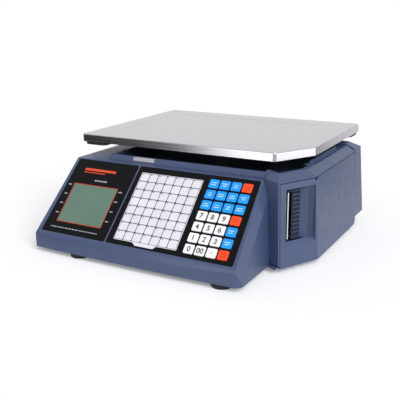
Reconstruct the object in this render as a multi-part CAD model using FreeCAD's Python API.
import FreeCAD, Part
import math
import os

# A counter-top label printing scale. Millimetres, +Z up, operator's side at -Y.
# Origin: centre of the footprint, on the surface that the feet stand on.

V = FreeCAD.Vector
FOLDER = "parts"
CUT = 1.0                      # how far a cutting tool runs past the face it cuts

# Casing
WALL = 2.8                     # moulded wall
HALF_X = 196.0                 # from the middle to the printer side's outer face
FRONT_Y = -202.0               # middle of the bowed front edge
FRONT_BOW = 2.5                # how far the front edge bulges forward
BASE_Z = 8.0                   # underside of the casing
CONSOLE_LEFT = -199.5          # sides of the console wedge, at the bottom
CONSOLE_RIGHT = 144.5
LEFT_TOP_X = -187.0            # and at the height of the ledge
RIGHT_TOP_X = 138.5
HOUSING_REAR = 129.0
LEDGE_Z = 127.0                # flat ledge behind the operator's panel
BEVEL = [(FRONT_Y, 23.0), (-197.5, 31.5)]   # small bevel above the skirt, as (y, z)
CORNER_R = (4.0, 10.0)         # left and right front corners

# Operator's panel: a plane at 45 degrees. Places on it are (x, s): s runs down the slope
# from the top edge of the overlays.
PANEL_ANGLE = 45.0
PANEL_TOP_Y = -103.2
PANEL_TOP_Z = 125.8
OVERLAY_LENGTH = 129.5
OVERLAY_DEPTH = 0.6            # depth of the recess that an overlay lies in
OVERLAY_THICK = 0.55
DISPLAY_OVERLAY = [(-182.4, 0.0), (-69.9, 0.0), (-72.9, OVERLAY_LENGTH), (-189.7, OVERLAY_LENGTH)]
KEYBOARD_OVERLAY = [(-67.7, 0.0), (129.0, 0.0), (131.2, OVERLAY_LENGTH), (-70.7, OVERLAY_LENGTH)]
OVERLAY_CORNER_R = 3.0
OVERLAY_GAP = 0.15
CHAMFER_IN_X = 132.3           # inner edge of the long chamfer on the wedge's right, at the top
CHAMFER_SPREAD = 4.6           # how far that edge moves out, down the panel
CHAMFER_DROP = 13.5            # depth of that chamfer, square to the panel

# Display
LCD_X = (-169.5, -89.5)
LCD_S = (44.3, 109.5)
LCD_THICK = 5.0
LCD_FACE = -0.25               # glass, under the panel's plane

# Keypad
KEY_COLUMNS = 4
KEY_ROWS = 7
KEY_FIRST = (61.75, 13.9)      # centre of the top left key, as (x, s)
KEY_PITCH = (17.1, 17.05)
KEY_SIZE = (14.5, 13.8)
KEY_R = 1.8
KEY_GAP = 0.4                  # all round, to the overlay and the wall
KEY_HEIGHT = 1.2               # above the panel
KEY_TRAVEL_GAP = 1.0           # between a stem and its switch
KEY_FLANGE = 0.9               # collar that keeps a key in its hole, on each side
SWITCH_TOP = -8.6
BOARD_TOP = -12.0
BOARD_THICK = 1.6

# Preset card
CARD_X = (-59.5, 44.0)
CARD_S = (10.5, 122.0)
CARD_TAB = [(-27.6, 122.0), (11.9, 122.0), (8.2, 126.5), (-21.0, 126.5)]
CARD_FLOAT = 0.1
CARD_THICK = 0.4

# Platter
PLATTER_X = (-196.0, 174.0)
PLATTER_Y = (-79.0, 202.0)
PLATTER_TOP = 160.6
PLATTER_RIM = 12.3
PLATTER_SHEET = 1.2
PLATTER_CHAMFER = (36.6, 63.7)
PLATTER_RADII = [4.5, 9.0, 4.5, 8.0, 8.0]
PLATTER_FOLD_R = 1.6           # fold between the top and the rim
FIELD_X = (-160.0, 125.0)      # sunk field in the middle of the platter
FIELD_Y = (-22.0, 160.0)
FIELD_DEPTH = 0.5
FIELD_SLOPE = 3.0

# Well under the platter
WELL = [(-131.0, -81.0), (134.0, -81.0), (149.0, -91.0), (167.5, -56.0), (167.5, 118.0), (-131.0, 118.0)]
WELL_FLOOR = 118.0
WELL_RIM_Z = 134.0
WELL_WALL = 2.5
RIM_SLOPE = 5.0
FENCE_Y = (-24.0, 89.0)        # low fence beside the platter
FENCE_THICK = 3.0
FENCE_TOP = 142.0
STOP_LENGTH = 10.0             # block at the fence's front end
STOP_TOP = 138.5
CORNER_BLOCK = ((127.5, 134.0), (-84.0, -77.0))   # block at the right end of the well's front rim
RIM_SLOTS = ((-18.0, 16.0), (20.0, 54.0), (60.0, 74.0))
RIM_SLOT_X = (171.3, 175.2)
RIM_SLOT_DEPTH = 6.0
CELL_HOLE = 52.0               # square hole in the well's floor over the load cell's free end

# Printer side, at the casing's right
DOOR_CORNER = (163.7, -113.9)  # front corner of the diagonal face, at the bottom
DOOR_BEND = (HALF_X, -53.0)    # corner of the diagonal and the side, at the bottom
RECESS_SLOPE = -0.504          # dy/dx of the wall between the wedge and the door
RIDGE_Z = 129.5
SIDE_DRAFT = 6.6               # how far the side leans in, from BASE_Z to RIDGE_Z
DIAGONAL_DRAFT = 4.2
ROOF_Z = 137.0
ROOF_BEVEL = 14.0
ROOF_LEFT = 134.0
SEAM = 1.0                     # gap round the door
RECESS_WALL = 2.6              # wall between the recess and the printer
BAY_PAST = 4.0                 # how far the way into the printer bay cuts past the wedge's wall
DOOR_TOP = 126.5
DOOR_REAR = 127.6
DOOR_WALL = 2.5
HINGE_PIN_R = 1.95
HINGE_BORE_R = 2.02
HINGE_IN = 2.5                 # axis, inwards from the door's outer face
HINGE_Y = 125.4
HINGE_TOP = 129.6              # upper end of the upper pin
LUG_Z = (BASE_Z, 12.0)         # lug of the base that carries the lower pin

WINDOW_ALONG = (5.0, 65.0)
WINDOW_Z = (35.0, 117.5)
WINDOW_STRIP = ((4.8, 10.5), (3.0, 5.0))   # strip behind the window's left edge, as (along, depth)
SILL_Z = (35.0, 43.0)          # the sill rises inwards between these heights
ALCOVE_ALONG = (30.0, 43.0, 51.0, 65.0)   # ribbed wall, slanted cheek, side panel
ALCOVE_DEPTH = (14.0, 5.0)
ALCOVE_WALL = 2.0
RIB_PITCH = 6.0
RIB_THICK = 1.2
RIB_HEIGHT = 0.8
NOTCH_ALONG = 66.0             # finger notch in the door's top edge

# Rear cover
REAR_Y = 129.6
REAR_BOTTOM_Z = 19.0
REAR_OUT_BOTTOM = 173.0
REAR_OUT_TOP = 160.0
REAR_SIDE_BOTTOM = 194.6
REAR_SIDE_TOP = 189.2
REAR_RIDGE_Z = 131.5
REAR_TOP_Z = 140.0
REAR_BEVEL = 17.0

CUSTOMER_X = (-60.0, 60.0)     # customer's display, seen from the rear
CUSTOMER_Z = (74.0, 112.0)
INLET_X = (-172.0, -144.0)
INLET_Z = (30.0, 51.0)
INLET_DEPTH = 22.0
SOCKET_DEPTH = 14.0
SWITCH_X = (-132.0, -118.0)
SWITCH_Z = (30.0, 51.0)
ROCKER_IN = 3.0                # rocker's pivot, inwards from the rear cover's face
ROCKER_BARREL_R = 3.2
FIT_GAP = 0.4                  # between a panel-mounted part and its opening

# Load path
CELL_X = (-86.0, 64.0)
CELL_Y = (45.0, 78.0)
CELL_Z = (78.0, 100.0)
CELL_HOLE_R = 8.5
CELL_HOLE_X = 16.0             # each hole's place, from the beam's middle
SPIDER_TIP = 40.0
SPIDER_TIP_Z = 143.5
SPIDER_ARM_Z = 145.0
SPIDER_TOP = 154.0
SPIDER_PLATE = 3.0
SPIDER_ARM = 26.0
PAD_TOP = PLATTER_TOP - PLATTER_SHEET
PAD_THICK = 2.0

# Label printer. Places near the door are (along, depth): along its diagonal face from the
# front corner, then inwards.
SHELF_Z = (30.0, 33.0)
BULKHEAD_X = (84.0, 87.0)
PLATEN_AT = (24.0, 27.0)
PLATEN_R = 7.0
ROLLER_Z = (50.0, 112.0)
TOP_PLATE_Z = (112.6, 114.8)
SHAFT_R = 3.0
RUN_FIT = 0.05                 # radial clearance of a running fit
GEAR_MODULE = 1.2
PLATEN_TEETH = 20
MOTOR_TEETH = 12
PRESSURE_ANGLE = math.radians(20.0)
BACKLASH = 0.12
GEAR_Z = (33.6, 38.4)
MOTOR_DIRECTION = 100.0        # from the platen to the motor, seen from above
MOTOR_SIZE = 35.0
MOTOR_HEIGHT = 18.0
MOTOR_SHAFT_R = 2.5
HEAD_PIVOT_AT = (12.5, 50.0)
HEAD_PIN_R = 1.95
BAR_AT = (15.6, 5.0)           # middle of the peel bar's front edge
BAR_THICK = 2.4
BAR_FOOT = 14.0                # height of the bar's foot on the shelf
ROLL_AXIS = (138.0, 62.0)
ROLL_R = 42.0
ROLL_BORE_R = 20.0
ROLL_Z = (51.0, 112.5)
SPOOL_AXIS = (108.0, -20.0)
SPOOL_R = 14.0
SPOOL_FLANGE_R = 21.0

# Base
BASE_FLOOR = 3.0
BASE_WALL = 2.5
BASE_RIM = 11.0
BASE_CORNER_R = 8.0

# Feet
FOOT_R = 16.0
FOOT_HEIGHT = 7.6
FOOT_STUD_R = 4.0
FEET = {"front_left": (-126.0, -183.0), "front_right": (110.0, -183.0),
        "rear_left": (-176.0, 114.0), "rear_right": (176.0, 114.0)}
SCREWS = [(-184.5, -150.0), (32.0, -165.0), (-184.5, 20.0), (60.0, 124.0), (-60.0, -165.0), (-120.0, 124.0)]
SCREW_R = 1.5
SCREW_HEAD_R = 3.2
SCREW_HEAD_Z = (0.8, 2.6)      # above the base's underside
SCREW_LENGTH = 16.0
BOSS_R = 4.5


# ---------------------------------------------------------------- helpers

def save(name, shape):
    if shape.isNull() or not shape.isValid():
        print("INVALID", name)
    shape.exportStep(os.path.join(FOLDER, name + ".step"))
    print(name, len(shape.Solids), round(shape.Volume))


def box(x, y, z):
    return Part.makeBox(x[1] - x[0], y[1] - y[0], z[1] - z[0], V(x[0], y[0], z[0]))


def cylinder(x, y, radius, z):
    return Part.makeCylinder(radius, z[1] - z[0], V(x, y, z[0]), V(0, 0, 1))


def wire_at(points, height=0.0):
    corners = [V(x, y, height) for x, y in points]
    return Part.makePolygon(corners + [corners[0]])


def prism(points, z):
    face = Part.Face(wire_at(points, z[0]))
    return face.extrude(V(0, 0, z[1] - z[0]))


def loft(lower, upper, z):
    return Part.makeLoft([wire_at(lower, z[0]), wire_at(upper, z[1])], True, True)


def corner_radius(points, radii):
    """A closed wire through the points at z = 0, each corner rounded by its radius."""
    edges = []
    starts = []
    count = len(points)
    for i in range(count):
        before = V(*points[i - 1], 0)
        here = V(*points[i], 0)
        after = V(*points[(i + 1) % count], 0)
        back = (before - here).normalize()
        ahead = (after - here).normalize()
        half = back.getAngle(ahead) / 2
        radius = radii[i]
        reach = radius / math.tan(half)
        middle = (back + ahead).normalize()
        centre = here + middle * (radius / math.sin(half))
        starts.append((here + back * reach, centre - middle * radius, here + ahead * reach))
    for i in range(count):
        first, middle, last = starts[i]
        if radii[i] > 0:
            edges.append(Part.Arc(first, middle, last).toShape())
        following = starts[(i + 1) % count][0]
        edges.append(Part.makeLine(last, following))
    return Part.Wire(edges)


def rounded_prism(points, radius, z):
    """Prism with rounded corners; radius is one number, or a list with one for each corner."""
    radii = radius if isinstance(radius, list) else [radius] * len(points)
    face = Part.Face(corner_radius(points, radii))
    face.translate(V(0, 0, z[0]))
    return face.extrude(V(0, 0, z[1] - z[0]))


def rectangle(x, y):
    return [(x[0], y[0]), (x[1], y[0]), (x[1], y[1]), (x[0], y[1])]


def inset(points, distances):
    """Moves each side of a counter-clockwise outline inwards; side i starts at point i."""
    lines = []
    count = len(points)
    for i in range(count):
        x0, y0 = points[i]
        x1, y1 = points[(i + 1) % count]
        length = math.hypot(x1 - x0, y1 - y0)
        ux = (x1 - x0) / length
        uy = (y1 - y0) / length
        lines.append((x0 - uy * distances[i], y0 + ux * distances[i], ux, uy))
    moved = []
    for i in range(count):
        ax, ay, aux, auy = lines[i - 1]
        bx, by, bux, buy = lines[i]
        cross = aux * buy - auy * bux
        along = ((bx - ax) * buy - (by - ay) * bux) / cross
        moved.append((ax + aux * along, ay + auy * along))
    return moved


def on_panel(shape):
    """Takes a shape drawn in (x, -s, height over the panel) to its place on the panel."""
    placed = shape.copy()
    placed.rotate(V(0, 0, 0), V(1, 0, 0), PANEL_ANGLE)
    placed.translate(V(0, PANEL_TOP_Y, PANEL_TOP_Z))
    return placed


def down_slope(points):
    return [(x, -s) for x, s in reversed(points)]


def lean(z):
    """How far the casing's right side has leaned in at height z, as a share of its draft."""
    return (z - BASE_Z) / (RIDGE_Z - BASE_Z)


# ---------------------------------------------------------------- outlines

def diagonal_frame():
    """Unit vectors of the door's diagonal face: along it, and outwards."""
    dx = DOOR_BEND[0] - DOOR_CORNER[0]
    dy = DOOR_BEND[1] - DOOR_CORNER[1]
    length = math.hypot(dx, dy)
    return (dx / length, dy / length), (dy / length, -dx / length)


def on_diagonal(along, depth):
    """A point of the ground plan: along the diagonal from its front corner, then inwards."""
    ahead, out = diagonal_frame()
    return (DOOR_CORNER[0] + ahead[0] * along - out[0] * depth,
            DOOR_CORNER[1] + ahead[1] * along - out[1] * depth)


def printer_outline(z, rear=HOUSING_REAR):
    """Outline of the printer side at height z, counter-clockwise from its front left."""
    side_x = DOOR_BEND[0] - SIDE_DRAFT * lean(z)
    ahead = diagonal_frame()[0]
    front = on_diagonal(-RECESS_WALL - SEAM, DIAGONAL_DRAFT * lean(z))
    left = (ROOF_LEFT, front[1] + RECESS_SLOPE * (ROOF_LEFT - front[0]))
    reach = (side_x - front[0]) / ahead[0]
    bend = (side_x, front[1] + ahead[1] * reach)
    return [left, front, bend, (side_x, rear), (ROOF_LEFT, rear)]


def casing_outline():
    """Ground plan of the casing, without the rear cover."""
    side = printer_outline(BASE_Z)
    inner = (CONSOLE_RIGHT, side[1][1] + RECESS_SLOPE * (CONSOLE_RIGHT - side[1][0]))
    return [(CONSOLE_LEFT, FRONT_Y), (CONSOLE_RIGHT, FRONT_Y), inner, side[1], side[2], side[3],
            (CONSOLE_LEFT, HOUSING_REAR)]


def key_centre(row, column):
    return (KEY_FIRST[0] + KEY_PITCH[0] * column, KEY_FIRST[1] + KEY_PITCH[1] * row)


def key_block(row, column, grow, heights, radius):
    x, s = key_centre(row, column)
    half_x = KEY_SIZE[0] / 2 + grow
    half_s = KEY_SIZE[1] / 2 + grow
    outline = rectangle((x - half_x, x + half_x), (-s - half_s, -s + half_s))
    return rounded_prism(outline, radius, heights)


def all_keys():
    return [(row, column) for row in range(KEY_ROWS) for column in range(KEY_COLUMNS)]


# ---------------------------------------------------------------- upper housing

def console_plan(gap):
    """Plan of the console: rounded front corners and a bowed front edge."""
    end_y = FRONT_Y + FRONT_BOW + gap
    left = CONSOLE_LEFT + gap
    right = CONSOLE_RIGHT - gap
    left_r, right_r = (radius - gap for radius in CORNER_R)
    left_cut = left_r * (1 - math.sqrt(0.5))
    right_cut = right_r * (1 - math.sqrt(0.5))
    low_left = V(left + left_cut, end_y + left_cut, 0)
    low_right = V(right - right_cut, end_y + right_cut, 0)
    front_left = V(left + left_r, end_y, 0)
    front_right = V(right - right_r, end_y, 0)
    middle = V((left + right) / 2, FRONT_Y + gap, 0)
    side_left = V(left, end_y + left_r, 0)
    side_right = V(right, end_y + right_r, 0)
    back_right = V(right, HOUSING_REAR + CUT * (gap > 0), 0)
    back_left = V(left, HOUSING_REAR + CUT * (gap > 0), 0)
    return Part.Wire([
        Part.Arc(side_left, low_left, front_left).toShape(),
        Part.Arc(front_left, middle, front_right).toShape(),
        Part.Arc(front_right, low_right, side_right).toShape(),
        Part.makeLine(side_right, back_right),
        Part.makeLine(back_right, back_left),
        Part.makeLine(back_left, side_left)])


def console_block(gap):
    """The console and the body behind it as one block, every face moved in by gap."""
    plan = Part.Face(console_plan(gap))
    plan.translate(V(0, 0, BASE_Z - CUT * (gap > 0)))
    tall = plan.extrude(V(0, 0, LEDGE_Z))
    below = BASE_Z - CUT
    far = HOUSING_REAR + 2 * CUT
    top = LEDGE_Z - gap
    slope = PANEL_TOP_Z - PANEL_TOP_Y - gap * math.sqrt(2)
    side = [(FRONT_Y - CUT, below), (FRONT_Y - CUT, BEVEL[0][1] - 2 * CUT)]
    side += [BEVEL[0], BEVEL[1]] if gap == 0 else [(FRONT_Y - CUT, FRONT_Y - CUT + slope)]
    side += [(top - slope, top), (far, top), (far, below)]
    profile = Part.makePolygon([V(CONSOLE_LEFT - CUT, y, z) for y, z in side + side[:1]])
    wedge = Part.Face(profile).extrude(V(2 * HALF_X, 0, 0))
    across = []
    for z in (below, LEDGE_Z + CUT):
        share = (z - BASE_Z) / (LEDGE_Z - BASE_Z)
        left = CONSOLE_LEFT + gap + (LEFT_TOP_X - CONSOLE_LEFT) * share
        right = CONSOLE_RIGHT - gap + (RIGHT_TOP_X - CONSOLE_RIGHT) * share
        across += [(left, z), (right, z)] if z == below else [(right, z), (left, z)]
    front = Part.makePolygon([V(x, FRONT_Y - 2 * CUT, z) for x, z in across + across[:1]])
    drafted = Part.Face(front).extrude(V(0, 2 * HALF_X, 0))
    return tall.common(wedge).common(drafted)


def long_chamfer(gap):
    """Tool for the chamfer that runs down the wedge's right edge, moved in by gap."""
    slope = CHAMFER_DROP / (RIGHT_TOP_X - CHAMFER_IN_X)
    inner = CHAMFER_IN_X - CUT - gap * math.sqrt(1 + slope ** -2)
    outer = CONSOLE_RIGHT + 4 * CUT
    section = [(inner, CUT * slope), (outer, CUT * slope), (outer, CUT * slope - slope * (outer - inner))]
    ends = []
    for share in (-1 / 3, 5 / 3):
        shift = CHAMFER_SPREAD * share
        corners = [V(x + shift, -OVERLAY_LENGTH * share, h) for x, h in section]
        ends.append(Part.makePolygon(corners + corners[:1]))
    return on_panel(Part.makeLoft(ends, True, True))


def printer_roof():
    ridge = printer_outline(RIDGE_Z)
    lip = prism(ridge, (DOOR_TOP + SEAM, RIDGE_Z))
    top = inset(ridge, [ROOF_BEVEL - 2, ROOF_BEVEL, ROOF_BEVEL, 0, 0])
    return lip.fuse(loft(ridge, top, (RIDGE_Z, ROOF_Z)))


def recess_wall():
    """The wall that faces forward between the wedge and the door."""
    heights = (BASE_Z + WALL + SEAM, DOOR_TOP + SEAM)
    ahead = diagonal_frame()[0]
    across = (ahead[0] * RECESS_WALL, ahead[1] * RECESS_WALL)
    walls = []
    for z in heights:
        left, front = printer_outline(z)[:2]
        walls.append([left, front, (front[0] + across[0], front[1] + across[1]),
                      (left[0] + across[0], left[1] + across[1])])
    return loft(walls[0], walls[1], heights)


def behind_recess(x):
    """y just behind the recess wall at x."""
    start = printer_outline(BASE_Z)[0]
    ahead = diagonal_frame()[0]
    return start[1] + RECESS_WALL * ahead[1] + 0.1 + RECESS_SLOPE * (x - start[0] - RECESS_WALL * ahead[0])


def well_rim():
    """Raised lip round the well, sloped outside."""
    sloped = WELL_WALL + RIM_SLOPE
    outer = inset(WELL, [-sloped, 0, 0, 0, 0, -sloped])
    upper = inset(WELL, [-WELL_WALL, 0, 0, 0, 0, -WELL_WALL])
    return loft(outer, upper, (LEDGE_Z - WALL, WELL_RIM_Z))


def side_rim():
    """Low fence beside the platter, with the block at its front end."""
    x = WELL[3][0]
    fence = box((x, x + FENCE_THICK), FENCE_Y, (WELL_RIM_Z, FENCE_TOP))
    stop = box((x - 4, x + 4), (FENCE_Y[0] - STOP_LENGTH, FENCE_Y[0]), (WELL_RIM_Z, STOP_TOP))
    corner = box(*CORNER_BLOCK, (LEDGE_Z, ROOF_Z))
    return fence.fuse(stop).fuse(corner)


def rim_slots():
    slots = [box(RIM_SLOT_X, y, (ROOF_Z - RIM_SLOT_DEPTH, ROOF_Z + CUT)) for y in RIM_SLOTS]
    return Part.makeCompound(slots)


def screw_boss(x, y):
    outer = cylinder(x, y, BOSS_R, (BASE_Z + 6, LEDGE_Z))
    return outer.cut(cylinder(x, y, SCREW_R + 0.1, (BASE_Z + 5, BASE_Z + SCREW_LENGTH + 2)))


def hinge_axis():
    """The door's hinge line: a point at BASE_Z and its unit direction, leaning with the side."""
    start = V(DOOR_BEND[0] - HINGE_IN, HINGE_Y, BASE_Z)
    end = V(DOOR_BEND[0] - HINGE_IN - SIDE_DRAFT, HINGE_Y, RIDGE_Z)
    return start, (end - start).normalize()


def hinge_cylinder(radius, z):
    start, direction = hinge_axis()
    first = start + direction * ((z[0] - BASE_Z) / direction.z)
    return Part.makeCylinder(radius, (z[1] - z[0]) / direction.z, first, direction)


def upper_housing():
    shell = console_block(0).cut(long_chamfer(0))
    shell = shell.fuse([printer_roof(), recess_wall(), well_rim(), side_rim()])
    around = inset(WELL, [-WELL_WALL] * 6)
    tub = prism(around, (WELL_FLOOR - WALL, LEDGE_Z + CUT))
    cavity = console_block(WALL).cut(long_chamfer(WALL)).cut(tub)
    shell = shell.cut(cavity)
    shell = shell.fuse(tub.common(prism(around, (WELL_FLOOR - WALL, LEDGE_Z))))
    bay_left = RIGHT_TOP_X - WALL - BAY_PAST
    bay_right = CONSOLE_RIGHT + CUT
    bay = prism([(bay_left, behind_recess(bay_left)), (bay_right, behind_recess(bay_right)),
                 (bay_right, HOUSING_REAR + CUT), (bay_left, HOUSING_REAR + CUT)],
                (BASE_Z - CUT, WELL_FLOOR - WALL))
    shell = shell.cut(bay)
    well = prism(WELL, (WELL_FLOOR, ROOF_Z + CUT))
    shell = shell.cut(well)
    ridge = printer_outline(RIDGE_Z)
    under = inset(ridge, [WALL, WALL, WALL, 8, 0])
    above = inset(ridge, [ROOF_BEVEL - 2, ROOF_BEVEL, ROOF_BEVEL, 8, 0])
    hollow = loft(under, above, (DOOR_TOP + SEAM - CUT, ROOF_Z - WALL)).cut(tub)
    shell = shell.cut(hollow)
    shell = shell.cut(rim_slots())
    x = CELL_X[1] - 20
    y = (CELL_Y[0] + CELL_Y[1]) / 2
    half = CELL_HOLE / 2
    through_floor = (WELL_FLOOR - WALL - CUT, WELL_FLOOR + CUT)
    shell = shell.cut(box((x - half, x + half), (y - half, y + half), through_floor))
    solid = console_block(CUT)
    bosses = [screw_boss(x, y).common(solid).cut(well) for x, y in SCREWS]
    shell = shell.fuse(bosses)
    shell = shell.cut(hinge_cylinder(HINGE_BORE_R, (DOOR_TOP, HINGE_TOP + 0.4)))
    recesses = [on_panel(rounded_prism(down_slope(outline), OVERLAY_CORNER_R, (-OVERLAY_DEPTH, CUT)))
                for outline in (DISPLAY_OVERLAY, KEYBOARD_OVERLAY)]
    holes = [on_panel(key_block(row, column, KEY_GAP, (-2 * WALL, CUT), KEY_R)) for row, column in all_keys()]
    window = on_panel(box(LCD_X, (-LCD_S[1], -LCD_S[0]), (-2 * WALL, CUT)))
    shell = shell.cut(recesses + holes + [window])
    return shell.removeSplitter()


# ---------------------------------------------------------------- panel

def overlay_sheet(outline):
    """A film that lies in its recess with a small gap all round."""
    smaller = inset(down_slope(outline), [OVERLAY_GAP] * 4)
    heights = (-OVERLAY_DEPTH, OVERLAY_THICK - OVERLAY_DEPTH)
    return rounded_prism(smaller, OVERLAY_CORNER_R - OVERLAY_GAP, heights)


def display_overlay():
    sheet = overlay_sheet(DISPLAY_OVERLAY)
    return on_panel(sheet.cut(box(LCD_X, (-LCD_S[1], -LCD_S[0]), (-WALL, WALL))))


def keyboard_overlay():
    sheet = overlay_sheet(KEYBOARD_OVERLAY)
    holes = [key_block(row, column, KEY_GAP, (-WALL, WALL), KEY_R) for row, column in all_keys()]
    return on_panel(sheet.cut(holes))


def lcd_module():
    gap = 0.3
    under = -WALL - gap
    glass = box((LCD_X[0] + gap, LCD_X[1] - gap), (-LCD_S[1] + gap, -LCD_S[0] - gap), (-WALL - CUT, LCD_FACE))
    body = box((LCD_X[0] - 6, LCD_X[1] + 6), (-LCD_S[1] - 6, -LCD_S[0] + 6), (under - LCD_THICK, under))
    board = box((LCD_X[0] - 8, LCD_X[1] + 8), (-LCD_S[1] - 8, -LCD_S[0] + 12),
                (-WALL - LCD_THICK - 2, -WALL - LCD_THICK))
    return on_panel(glass.fuse(body).fuse(board))


def preset_card():
    heights = (CARD_FLOAT, CARD_FLOAT + CARD_THICK)
    sheet = rounded_prism(rectangle(CARD_X, (-CARD_S[1], -CARD_S[0])), 1.0, heights)
    tab = prism(down_slope(CARD_TAB), heights)
    return on_panel(sheet.fuse(tab).removeSplitter())


def keyboard_board():
    first = key_centre(0, 0)
    last = key_centre(KEY_ROWS - 1, KEY_COLUMNS - 1)
    board = box((first[0] - 12, last[0] + 10), (-last[1] - 6, -first[1] + 10),
                (BOARD_TOP - BOARD_THICK, BOARD_TOP))
    switches = []
    for row, column in all_keys():
        x, s = key_centre(row, column)
        switches.append(box((x - 3, x + 3), (-s - 3, -s + 3), (BOARD_TOP - BOARD_THICK, SWITCH_TOP)))
    return on_panel(board.fuse(switches).removeSplitter())


def key(row, column):
    cap = key_block(row, column, 0, (-WALL - 1.6, KEY_HEIGHT), KEY_R)
    top_edges = [edge for edge in cap.Edges if edge.BoundBox.ZMin > KEY_HEIGHT - 0.01]
    cap = cap.makeFillet(0.5, top_edges)
    collar = key_block(row, column, KEY_FLANGE, (-WALL - 1.6, -WALL - 0.4), KEY_R)
    x, s = key_centre(row, column)
    stem = box((x - 2.5, x + 2.5), (-s - 2.5, -s + 2.5), (SWITCH_TOP + KEY_TRAVEL_GAP, -WALL - 1.6))
    return on_panel(cap.fuse([collar, stem]).removeSplitter())


# ---------------------------------------------------------------- platter and load path

def platter_outline():
    return [(PLATTER_X[0], PLATTER_Y[0]),
            (PLATTER_X[1] - PLATTER_CHAMFER[0], PLATTER_Y[0]),
            (PLATTER_X[1], PLATTER_Y[0] + PLATTER_CHAMFER[1]),
            (PLATTER_X[1], PLATTER_Y[1]),
            (PLATTER_X[0], PLATTER_Y[1])]


def platter():
    outline = platter_outline()
    low = PLATTER_TOP - PLATTER_RIM
    pan = rounded_prism(outline, PLATTER_RADII, (low, PLATTER_TOP))
    top_edges = [edge for edge in pan.Edges if edge.BoundBox.ZMin > PLATTER_TOP - 0.01]
    pan = pan.makeFillet(PLATTER_FOLD_R, top_edges)
    inner = inset(outline, [PLATTER_SHEET] * 5)
    inner_radii = [radius - PLATTER_SHEET for radius in PLATTER_RADII]
    pan = pan.cut(rounded_prism(inner, inner_radii, (low - CUT, PLATTER_TOP - PLATTER_SHEET)))
    field = rectangle(FIELD_X, FIELD_Y)
    upper = inset(field, [-FIELD_SLOPE] * 4)
    return pan.cut(loft(field, upper, (PLATTER_TOP - FIELD_DEPTH, PLATTER_TOP)))


def spider_tips():
    """Centres of the four corner seats under the platter."""
    edge = SPIDER_TIP / 2 + 2.6
    left = PLATTER_X[0] + edge
    right = PLATTER_X[1] - edge
    front = PLATTER_Y[0] + edge
    rear = PLATTER_Y[1] - edge
    return [(left, front), (right - 30, front + 20), (right, rear), (left, rear)]


def tip_block(x, y, size, z):
    half = size / 2
    return rounded_prism(rectangle((x - half, x + half), (y - half, y + half)), size / 5, z)


def spider():
    """Black casting under the platter: a plate on crossed arms, with a seat at each corner."""
    centre_x = (PLATTER_X[0] + PLATTER_X[1]) / 2
    centre_y = (CELL_Y[0] + CELL_Y[1]) / 2
    corners = spider_tips()
    plate = prism(corners, (SPIDER_TOP - SPIDER_PLATE, SPIDER_TOP))
    pieces = [box((-75, CELL_X[1] + 6), (centre_y - 32, centre_y + 32), (SPIDER_ARM_Z, SPIDER_TOP))]
    for x, y in corners:
        angle = math.degrees(math.atan2(y - centre_y, x - centre_x))
        length = math.hypot(x - centre_x, y - centre_y)
        arm = Part.makeBox(length, SPIDER_ARM, SPIDER_TOP - SPIDER_ARM_Z, V(0, -SPIDER_ARM / 2, SPIDER_ARM_Z))
        arm.rotate(V(0, 0, 0), V(0, 0, 1), angle)
        arm.translate(V(centre_x, centre_y, 0))
        pieces.append(arm)
        pieces.append(tip_block(x, y, SPIDER_TIP, (SPIDER_TIP_Z, PAD_TOP - PAD_THICK)))
    pieces.append(box((CELL_X[1] - 40, CELL_X[1]), CELL_Y, (CELL_Z[1], SPIDER_ARM_Z)))
    return plate.fuse(pieces).removeSplitter()


def spider_pads():
    pads = [tip_block(x, y, SPIDER_TIP - 12, (PAD_TOP - PAD_THICK, PAD_TOP)) for x, y in spider_tips()]
    return Part.makeCompound(pads)


def load_cell():
    """Aluminium bending beam with the two joined holes of a single-point cell."""
    bar = box(CELL_X, CELL_Y, CELL_Z)
    middle_x = (CELL_X[0] + CELL_X[1]) / 2
    middle_z = (CELL_Z[0] + CELL_Z[1]) / 2
    across = CELL_Y[1] - CELL_Y[0] + 2 * CUT
    for side in (-1, 1):
        start = V(middle_x + side * CELL_HOLE_X, CELL_Y[0] - CUT, middle_z)
        bar = bar.cut(Part.makeCylinder(CELL_HOLE_R, across, start, V(0, 1, 0)))
    slit = box((middle_x - CELL_HOLE_X, middle_x + CELL_HOLE_X), (CELL_Y[0] - CUT, CELL_Y[1] + CUT),
               (middle_z - 3, middle_z + 3))
    return bar.cut(slit)


def load_cell_mount():
    """Hollow steel post under the beam's fixed end, on a foot plate."""
    low = BASE_Z + BASE_FLOOR
    foot = box((CELL_X[0] - 20, CELL_X[0] + 62), (CELL_Y[0] - 14, CELL_Y[1] + 14), (low, low + 5))
    post = box((CELL_X[0], CELL_X[0] + 42), CELL_Y, (low, CELL_Z[0]))
    core = box((CELL_X[0] + 5, CELL_X[0] + 37), (CELL_Y[0] - CUT, CELL_Y[1] + CUT), (low + 9, CELL_Z[0] - 10))
    return foot.fuse(post).cut(core).removeSplitter()


# ---------------------------------------------------------------- base and rear

def base_outline():
    gap = WALL + 0.6
    plan = casing_outline()
    return inset(plan, [FRONT_BOW + gap, gap + 0.8, gap + 0.3, gap + 0.4, gap + 0.6, -4.0, gap + 1.4])


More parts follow.
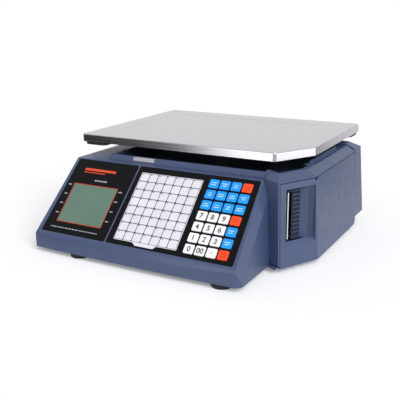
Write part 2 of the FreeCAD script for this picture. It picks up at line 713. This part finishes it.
def base_pan():
    outline = base_outline()
    square = [0] * (len(outline) - 2)
    pan = rounded_prism(outline, [BASE_CORNER_R] * 2 + square, (BASE_Z, BASE_Z + BASE_RIM))
    inside = inset(outline, [BASE_WALL] * len(outline))
    hollow_r = BASE_CORNER_R - BASE_WALL
    hollow_z = (BASE_Z + BASE_FLOOR, BASE_Z + BASE_RIM + CUT)
    pan = pan.cut(rounded_prism(inside, [hollow_r] * 2 + square, hollow_z))
    side = printer_outline(BASE_Z)
    lip_left = CONSOLE_RIGHT + SEAM
    left_y = side[1][1] + RECESS_SLOPE * (lip_left - side[1][0])
    lip = prism([(lip_left, left_y - 5), (side[1][0] - 3, side[1][1] - 3.5), (side[1][0] - 4, side[1][1] + 8),
                 (lip_left, left_y + 8)], (BASE_Z, BASE_Z + WALL))
    pan = pan.fuse(lip)
    for x, y in FEET.values():
        pan = pan.fuse(cylinder(x, y, 8.0, (BASE_Z, BASE_Z + 12)))
    for x, y in FEET.values():
        pan = pan.cut(cylinder(x, y, FOOT_STUD_R + RUN_FIT, (BASE_Z - CUT, BASE_Z + 13)))
    for x, y in SCREWS:
        pan = pan.fuse(cylinder(x, y, 5.5, (BASE_Z, BASE_Z + 5.6)))
    for x, y in SCREWS:
        pan = pan.cut(cylinder(x, y, SCREW_R + 0.4, (BASE_Z - CUT, BASE_Z + 7)))
        pan = pan.cut(cylinder(x, y, SCREW_HEAD_R + 0.4, (BASE_Z - CUT, BASE_Z + SCREW_HEAD_Z[1])))
    start, direction = hinge_axis()
    pan = pan.cut(box((start.x - 10, start.x + 4), (119, HOUSING_REAR), (LUG_Z[1], BASE_Z + 12)))
    pan = pan.fuse(box((start.x - 10, start.x + 2.0), (119, DOOR_REAR - 0.6), LUG_Z))
    return pan.cut(hinge_cylinder(HINGE_BORE_R, (BASE_Z + 1, LUG_Z[1] + 1))).removeSplitter()


def casing_screws():
    screws = []
    for x, y in SCREWS:
        head = cylinder(x, y, SCREW_HEAD_R, (BASE_Z + SCREW_HEAD_Z[0], BASE_Z + SCREW_HEAD_Z[1]))
        shank = cylinder(x, y, SCREW_R, (BASE_Z + SCREW_HEAD_Z[1], BASE_Z + SCREW_LENGTH))
        screws.append(head.fuse(shank).removeSplitter())
    return Part.makeCompound(screws)


def rear_block(gap):
    front = REAR_Y - CUT * 2 if gap else REAR_Y
    side = [(front, REAR_BOTTOM_Z + gap), (REAR_OUT_BOTTOM - gap, REAR_BOTTOM_Z + gap),
            (REAR_OUT_TOP - gap, REAR_RIDGE_Z), (REAR_OUT_TOP - 12 - gap / 2, REAR_TOP_Z - gap),
            (front, REAR_TOP_Z - gap)]
    profile = Part.makePolygon([V(-HALF_X, y, z) for y, z in side + side[:1]])
    length = Part.Face(profile).extrude(V(2 * HALF_X, 0, 0))
    low = REAR_SIDE_BOTTOM - gap
    high = REAR_SIDE_TOP - gap
    top = REAR_TOP_Z - gap
    inner = high - REAR_BEVEL + gap / 2
    across = [(-low, REAR_BOTTOM_Z), (low, REAR_BOTTOM_Z), (high, REAR_RIDGE_Z), (inner, top),
              (-inner, top), (-high, REAR_RIDGE_Z)]
    section = Part.makePolygon([V(x, REAR_Y - 3 * CUT, z) for x, z in across + across[:1]])
    return length.common(Part.Face(section).extrude(V(0, HALF_X, 0)))


def rear_face(z):
    """y of the rear cover's outer face at height z."""
    share = (z - REAR_BOTTOM_Z) / (REAR_RIDGE_Z - REAR_BOTTOM_Z)
    return REAR_OUT_BOTTOM + (REAR_OUT_TOP - REAR_OUT_BOTTOM) * share


def rear_cover():
    shell = rear_block(0).cut(rear_block(WALL))
    for x, z in ((CUSTOMER_X, CUSTOMER_Z), (INLET_X, INLET_Z), (SWITCH_X, SWITCH_Z)):
        shell = shell.cut(box(x, (REAR_Y + 10, HALF_X), z))
    notch_z = (REAR_BOTTOM_Z - CUT, REAR_BOTTOM_Z + WALL + CUT)
    bottom_notch = box((-HALF_X, HALF_X), (REAR_Y - CUT, REAR_Y + 4), notch_z)
    return shell.cut(bottom_notch).removeSplitter()


def customer_display():
    low = rear_face(CUSTOMER_Z[0])
    gap = FIT_GAP
    window = box((CUSTOMER_X[0] + gap, CUSTOMER_X[1] - gap), (REAR_OUT_TOP - 3, low - 4),
                 (CUSTOMER_Z[0] + gap, CUSTOMER_Z[1] - gap))
    body = box((CUSTOMER_X[0] - 6, CUSTOMER_X[1] + 6), (REAR_OUT_TOP - 14, REAR_OUT_TOP - 3),
               (CUSTOMER_Z[0] - 6, CUSTOMER_Z[1] + 6))
    return window.fuse(body).removeSplitter()


def power_inlet():
    outer = rear_face(INLET_Z[1]) - 0.5
    gap = FIT_GAP
    body = box((INLET_X[0] + gap, INLET_X[1] - gap), (outer - INLET_DEPTH, outer),
               (INLET_Z[0] + gap, INLET_Z[1] - gap))
    socket = box((INLET_X[0] + 3.5, INLET_X[1] - 3.5), (outer - SOCKET_DEPTH, outer + CUT),
                 (INLET_Z[0] + 3, INLET_Z[1] - 3))
    middle_x = (INLET_X[0] + INLET_X[1]) / 2
    middle_z = (INLET_Z[0] + INLET_Z[1]) / 2
    blades = []
    for x in (middle_x - 7, middle_x, middle_x + 7):
        blades.append(box((x - 1, x + 1), (outer - 16, outer - 3), (middle_z - 2, middle_z + 2)))
    return body.cut(socket).fuse(blades).removeSplitter()


def power_switch():
    """Rocker that tips about the barrel across its back."""
    outer = rear_face(SWITCH_Z[1])
    middle_z = (SWITCH_Z[0] + SWITCH_Z[1]) / 2
    gap = FIT_GAP + 0.2
    half = (SWITCH_Z[1] - SWITCH_Z[0]) / 2 - 4 * FIT_GAP
    side = [(outer - 6, middle_z - half), (outer - 1, middle_z - half), (outer - 2.5, middle_z),
            (outer + 1.5, middle_z + half), (outer - 6, middle_z + half)]
    profile = Part.makePolygon([V(SWITCH_X[0] + gap, y, z) for y, z in side + side[:1]])
    width = SWITCH_X[1] - SWITCH_X[0] - 2 * gap
    pivot = V(SWITCH_X[0] + gap, outer - ROCKER_IN, middle_z)
    barrel = Part.makeCylinder(ROCKER_BARREL_R, width, pivot, V(1, 0, 0))
    return Part.Face(profile).extrude(V(width, 0, 0)).fuse(barrel).removeSplitter()


# ---------------------------------------------------------------- door

def door_block(gap, z):
    """The space inside the door's outer faces, moved in by gap, between two heights."""
    outlines = []
    for height in z:
        front, bend, rear = printer_outline(height, DOOR_REAR)[1:4]
        shell = [front, bend, rear, (rear[0] - 40, rear[1]), (front[0] - 40, front[1])]
        outlines.append(inset(shell, [gap, gap, 0, 0, 0]))
    return loft(outlines[0], outlines[1], z)


def diagonal_prism(places, z):
    """Prism over places given as (along, depth) on the door's diagonal."""
    return prism([on_diagonal(along, depth) for along, depth in places], z)


def diagonal_box(along, depth, z):
    return diagonal_prism(rectangle(along, depth), z)


def along_window(section):
    """Bar as long as the window is wide, with its section given as (depth, z)."""
    ends = []
    for along in WINDOW_ALONG:
        corners = [V(*on_diagonal(along, depth), z) for depth, z in section + section[:1]]
        ends.append(Part.makePolygon(corners))
    return Part.makeLoft(ends, True, True)


def door_alcove():
    """Recess behind the window's right part: ribbed wall, slanted cheek and side panel."""
    near, cheek, panel, end = ALCOVE_ALONG
    deep, shallow = ALCOVE_DEPTH
    wall = ALCOVE_WALL
    outline = [(near, deep), (cheek, deep), (panel, shallow), (end, shallow), (end, shallow + wall),
               (panel + 1, shallow + wall), (cheek + 1, deep + wall), (near, deep + wall)]
    z = (SILL_Z[1] - 1.5, WINDOW_Z[1])
    alcove = diagonal_prism(outline, z)
    ribs = []
    count = int((z[1] - z[0]) / RIB_PITCH)
    for i in range(count):
        low = z[0] + (i + 0.6) * RIB_PITCH
        depth = (deep - RIB_HEIGHT, deep + 0.5)
        ribs.append(diagonal_box((near + 1, cheek - 0.5), depth, (low, low + RIB_THICK)))
    return alcove.fuse(ribs)


def hinge_ear(z):
    start, direction = hinge_axis()
    x = (start + direction * ((z[1] - BASE_Z) / direction.z)).x
    return box((x - 3, x + 9), (HINGE_Y - 4.4, DOOR_REAR), z)


def printer_door():
    z = (BASE_Z, DOOR_TOP)
    body = door_block(0, z)
    skin = body.cut(door_block(DOOR_WALL, z))
    skin = skin.common(diagonal_box((0, 400), (-20, 400), (0, 200)))
    skin = skin.cut(diagonal_box(WINDOW_ALONG, (-10, 10), WINDOW_Z))
    sill = along_window([(0.4, WINDOW_Z[0]), (7, SILL_Z[1]), (7, SILL_Z[1] - 2.5), (0.4, WINDOW_Z[0] - 3)])
    lintel = along_window([(2, WINDOW_Z[1]), (16, WINDOW_Z[1]), (16, WINDOW_Z[1] + 2), (2, WINDOW_Z[1] + 2)])
    lintel = lintel.cut(diagonal_box((0, ALCOVE_ALONG[0]), (4.4, 30), (0, 200)))
    jamb = diagonal_box((WINDOW_ALONG[1] - 2, WINDOW_ALONG[1]), (1.5, ALCOVE_DEPTH[1] + 2), WINDOW_Z)
    strip = diagonal_box(*WINDOW_STRIP, (WINDOW_Z[0] + 3, WINDOW_Z[1] + 1))
    bridge = diagonal_box((2.0, WINDOW_STRIP[0][0] + 0.5), (1.0, WINDOW_STRIP[1][1]), WINDOW_Z)
    ears = [hinge_ear((LUG_Z[1] + 0.6, LUG_Z[1] + 8)), hinge_ear((DOOR_TOP - 8, DOOR_TOP))]
    inside = jamb.fuse([sill, lintel, strip, bridge, door_alcove()] + ears).common(body)
    skin = skin.fuse(inside)
    lug_z = (BASE_Z - CUT, LUG_Z[1] + 0.6)
    skin = skin.cut(box((HALF_X - 14, HALF_X + CUT), (HINGE_Y - 7.6, DOOR_REAR + CUT), lug_z))
    notch = on_diagonal(NOTCH_ALONG, 0)
    skin = skin.cut(cylinder(notch[0] - 6, notch[1] + 3, 5, (DOOR_TOP - 3, DOOR_TOP + CUT)))
    lower = hinge_cylinder(HINGE_PIN_R, (BASE_Z + 1.4, LUG_Z[1] + 4))
    upper = hinge_cylinder(HINGE_PIN_R, (DOOR_TOP - 4, HINGE_TOP))
    return skin.fuse([lower, upper]).removeSplitter()


# ---------------------------------------------------------------- label printer

def platen_axis():
    return on_diagonal(*PLATEN_AT)


def motor_axis():
    x, y = platen_axis()
    distance = GEAR_MODULE * (PLATEN_TEETH + MOTOR_TEETH) / 2
    angle = math.radians(MOTOR_DIRECTION)
    return (x + distance * math.cos(angle), y + distance * math.sin(angle))


def involute(angle):
    return math.tan(angle) - angle


def gear(axis_xy, teeth, first_tooth, z):
    """Spur gear whose first tooth points in the direction first_tooth, in degrees."""
    pitch_r = GEAR_MODULE * teeth / 2
    base_r = pitch_r * math.cos(PRESSURE_ANGLE)
    tip_r = pitch_r + GEAR_MODULE * 0.9
    root_r = pitch_r - GEAR_MODULE * 1.25
    half_pitch = math.pi / (2 * teeth) - BACKLASH / (2 * pitch_r)
    flank = []
    start_r = max(base_r, root_r)
    steps = 4
    for i in range(steps + 1):
        radius = start_r + (tip_r - start_r) * i / steps
        at = math.acos(min(1.0, base_r / radius))
        flank.append((radius, half_pitch + involute(PRESSURE_ANGLE) - involute(at)))
    if root_r < base_r:
        flank.insert(0, (root_r, flank[0][1]))
    points = []
    for tooth in range(teeth):
        middle = math.radians(first_tooth) + tooth * 2 * math.pi / teeth
        rising = [(radius, middle - half) for radius, half in flank]
        falling = [(radius, middle + half) for radius, half in reversed(flank)]
        for radius, angle in rising + falling:
            points.append((axis_xy[0] + radius * math.cos(angle), axis_xy[1] + radius * math.sin(angle)))
    return prism(points, z)


def platen_roller():
    """Rubber-covered roller on its shaft, with its drive gear at the foot."""
    x, y = platen_axis()
    roller = cylinder(x, y, PLATEN_R, ROLLER_Z)
    shaft = cylinder(x, y, SHAFT_R, (SHELF_Z[0] + 0.5, TOP_PLATE_Z[1] - 0.4))
    hub = cylinder(x, y, 6.0, (GEAR_Z[0], ROLLER_Z[0] - 4))
    teeth = gear((x, y), PLATEN_TEETH, MOTOR_DIRECTION, GEAR_Z)
    return roller.fuse([shaft, hub, teeth]).removeSplitter()


def motor_gear():
    x, y = motor_axis()
    facing = MOTOR_DIRECTION + 180.0 + 180.0 / MOTOR_TEETH
    teeth = gear((x, y), MOTOR_TEETH, facing, GEAR_Z)
    hub = cylinder(x, y, 5.0, (GEAR_Z[1], GEAR_Z[1] + 5))
    bore = cylinder(x, y, MOTOR_SHAFT_R + RUN_FIT, (GEAR_Z[0] - CUT, GEAR_Z[1] + 6))
    return teeth.fuse(hub).cut(bore).removeSplitter()


def feed_motor():
    x, y = motor_axis()
    half = MOTOR_SIZE / 2
    top = SHELF_Z[0]
    outline = rectangle((x - half, x + half), (y - half, y + half))
    body = rounded_prism(outline, 4.0, (top - MOTOR_HEIGHT, top))
    boss = cylinder(x, y, 8.0, (top, top + 1.5))
    shaft = cylinder(x, y, MOTOR_SHAFT_R, (top, GEAR_Z[1] + 6))
    return body.fuse([boss, shaft]).removeSplitter()


def print_head():
    """Thermal head on its hinged arm; it closes against the platen."""
    tangent = PLATEN_AT[0] - PLATEN_R - 0.05
    along, depth = HEAD_PIVOT_AT
    arm = diagonal_box((tangent - 7.5, tangent - 1.2), (16, depth), ROLLER_Z)
    bead = diagonal_box((tangent - 2.0, tangent), (PLATEN_AT[1] - 5, PLATEN_AT[1] + 5), ROLLER_Z)
    x, y = on_diagonal(along, depth)
    knuckle = cylinder(x, y, 4.5, ROLLER_Z)
    pin = cylinder(x, y, HEAD_PIN_R, (SHELF_Z[0] + 0.5, TOP_PLATE_Z[1] - 0.4))
    return arm.fuse([bead, knuckle, pin]).removeSplitter()


def peel_bar():
    along, depth = BAR_AT
    half = BAR_THICK / 2
    heights = (SHELF_Z[1] + BAR_FOOT, TOP_PLATE_Z[0])
    plate = diagonal_box((along - half, along + half), (depth + half, depth + 8), heights)
    x, y = on_diagonal(along, depth + half)
    return plate.fuse(cylinder(x, y, half, heights)).removeSplitter()


def printer_frame():
    """Bulkhead, shelf with the roll's spindle, and the bracket of the printing unit."""
    side = inset(printer_outline(TOP_PLATE_Z[0]), [WALL + 1, 8, 8, 10, 0])
    front = side[1][1] + 12
    plan = [(BULKHEAD_X[0], front), (side[1][0] - 12, front), side[1], side[2], side[3],
            (BULKHEAD_X[0], side[3][1])]
    shelf = prism(plan, SHELF_Z)
    bulkhead = box(BULKHEAD_X, (front + 8, side[3][1]), (BASE_Z + 3, WELL_FLOOR - WALL - 1))
    cheek = diagonal_box((4.6, 6.2), (10, 54), (SHELF_Z[0], TOP_PLATE_Z[1]))
    top = diagonal_box((4.6, 28.8), (7.4, 54), TOP_PLATE_Z)
    foot = diagonal_box((5, 16.8), (7, 13), (SHELF_Z[0], SHELF_Z[1] + BAR_FOOT))
    x, y = ROLL_AXIS
    spindle = cylinder(x, y, ROLL_BORE_R - RUN_FIT, (SHELF_Z[1], ROLL_Z[1] - 4))
    flange = cylinder(x, y, ROLL_R - 8, (SHELF_Z[1], ROLL_Z[0] - 0.4))
    hollow = cylinder(x, y, ROLL_BORE_R - 3, (SHELF_Z[1], ROLL_Z[1]))
    spool_post = cylinder(SPOOL_AXIS[0], SPOOL_AXIS[1], 7.0, (SHELF_Z[1], ROLLER_Z[0] - 0.4))
    frame = shelf.fuse([bulkhead, cheek, top, foot, spindle, flange, spool_post]).cut(hollow)
    px, py = platen_axis()
    hx, hy = on_diagonal(*HEAD_PIVOT_AT)
    mx, my = motor_axis()
    tall = (SHELF_Z[0] - CUT, TOP_PLATE_Z[1] + CUT)
    bores = [cylinder(px, py, SHAFT_R + RUN_FIT, tall), cylinder(hx, hy, HEAD_PIN_R + RUN_FIT, tall),
             cylinder(mx, my, 8.2, (SHELF_Z[0] - CUT, SHELF_Z[1] + CUT)),
             cylinder(SPOOL_AXIS[0], SPOOL_AXIS[1], SHAFT_R + RUN_FIT, (SHELF_Z[0] - CUT, ROLLER_Z[0]))]
    return frame.cut(bores).removeSplitter()


def label_roll():
    x, y = ROLL_AXIS
    return cylinder(x, y, ROLL_R, ROLL_Z).cut(cylinder(x, y, ROLL_BORE_R, (ROLL_Z[0] - CUT, ROLL_Z[1] + CUT)))


def take_up_spool():
    x, y = SPOOL_AXIS
    drum = cylinder(x, y, SPOOL_R, ROLLER_Z)
    flange = cylinder(x, y, SPOOL_FLANGE_R, (ROLLER_Z[0], ROLLER_Z[0] + 2))
    pin = cylinder(x, y, SHAFT_R, (SHELF_Z[0] + 0.5, ROLLER_Z[0]))
    return drum.fuse([flange, pin]).removeSplitter()


# ---------------------------------------------------------------- electronics and feet

def main_board():
    board = box((-172, -62), (-92, 22), (BASE_Z + 8, BASE_Z + 9.6))
    top = BASE_Z + 9.6
    parts = [box((-150, -126), (-60, -36), (top, top + 2)), box((-110, -92), (-40, -22), (top, top + 2)),
             box((-168, -150), (0, 20), (top, top + 12)), box((-88, -66), (-86, -66), (top, top + 9))]
    posts = [cylinder(x, y, 3.0, (BASE_Z + 3, BASE_Z + 8)) for x in (-167, -67) for y in (-87, 17)]
    return board.fuse(parts + posts).removeSplitter()


def power_supply():
    plate = box((-20, 70), (-72, 24), (BASE_Z + 3, BASE_Z + 4.5))
    board = box((-16, 66), (-68, 20), (BASE_Z + 9, BASE_Z + 10.6))
    top = BASE_Z + 10.6
    coil = box((8, 34), (-40, -14), (top, top + 24))
    sink = box((50, 54), (-60, 10), (top, top + 28))
    can = cylinder(-2, 4, 8.0, (top, top + 26))
    posts = [cylinder(x, y, 3.0, (BASE_Z + 4.5, BASE_Z + 9)) for x in (-11, 61) for y in (-63, 15)]
    return plate.fuse([board, coil, sink, can] + posts).removeSplitter()


def foot(place):
    x, y = FEET[place]
    disc = Part.makeCone(FOOT_R - 1.5, FOOT_R, FOOT_HEIGHT, V(x, y, 0), V(0, 0, 1))
    bottom = [edge for edge in disc.Edges if edge.BoundBox.ZMax < 0.01]
    disc = disc.makeFillet(1.2, bottom)
    return disc.fuse(cylinder(x, y, FOOT_STUD_R, (FOOT_HEIGHT, BASE_Z + 10))).removeSplitter()


# ---------------------------------------------------------------- output

def main():
    os.makedirs(FOLDER, exist_ok=True)
    save("upper_housing", upper_housing())
    save("display_overlay", display_overlay())
    save("keyboard_overlay", keyboard_overlay())
    save("lcd_module", lcd_module())
    save("preset_card", preset_card())
    save("keyboard_board", keyboard_board())
    for row, column in all_keys():
        save("key_r%dc%d" % (row + 1, column + 1), key(row, column))
    save("platter", platter())
    save("spider", spider())
    save("spider_pads", spider_pads())
    save("load_cell", load_cell())
    save("load_cell_mount", load_cell_mount())
    save("base_pan", base_pan())
    save("casing_screws", casing_screws())
    save("rear_cover", rear_cover())
    save("customer_display", customer_display())
    save("power_inlet", power_inlet())
    save("power_switch", power_switch())
    save("printer_door", printer_door())
    save("printer_frame", printer_frame())
    save("platen_roller", platen_roller())
    save("motor_gear", motor_gear())
    save("feed_motor", feed_motor())
    save("print_head", print_head())
    save("peel_bar", peel_bar())
    save("label_roll", label_roll())
    save("take_up_spool", take_up_spool())
    save("main_board", main_board())
    save("power_supply", power_supply())
    for place in FEET:
        save("foot_" + place, foot(place))


main()
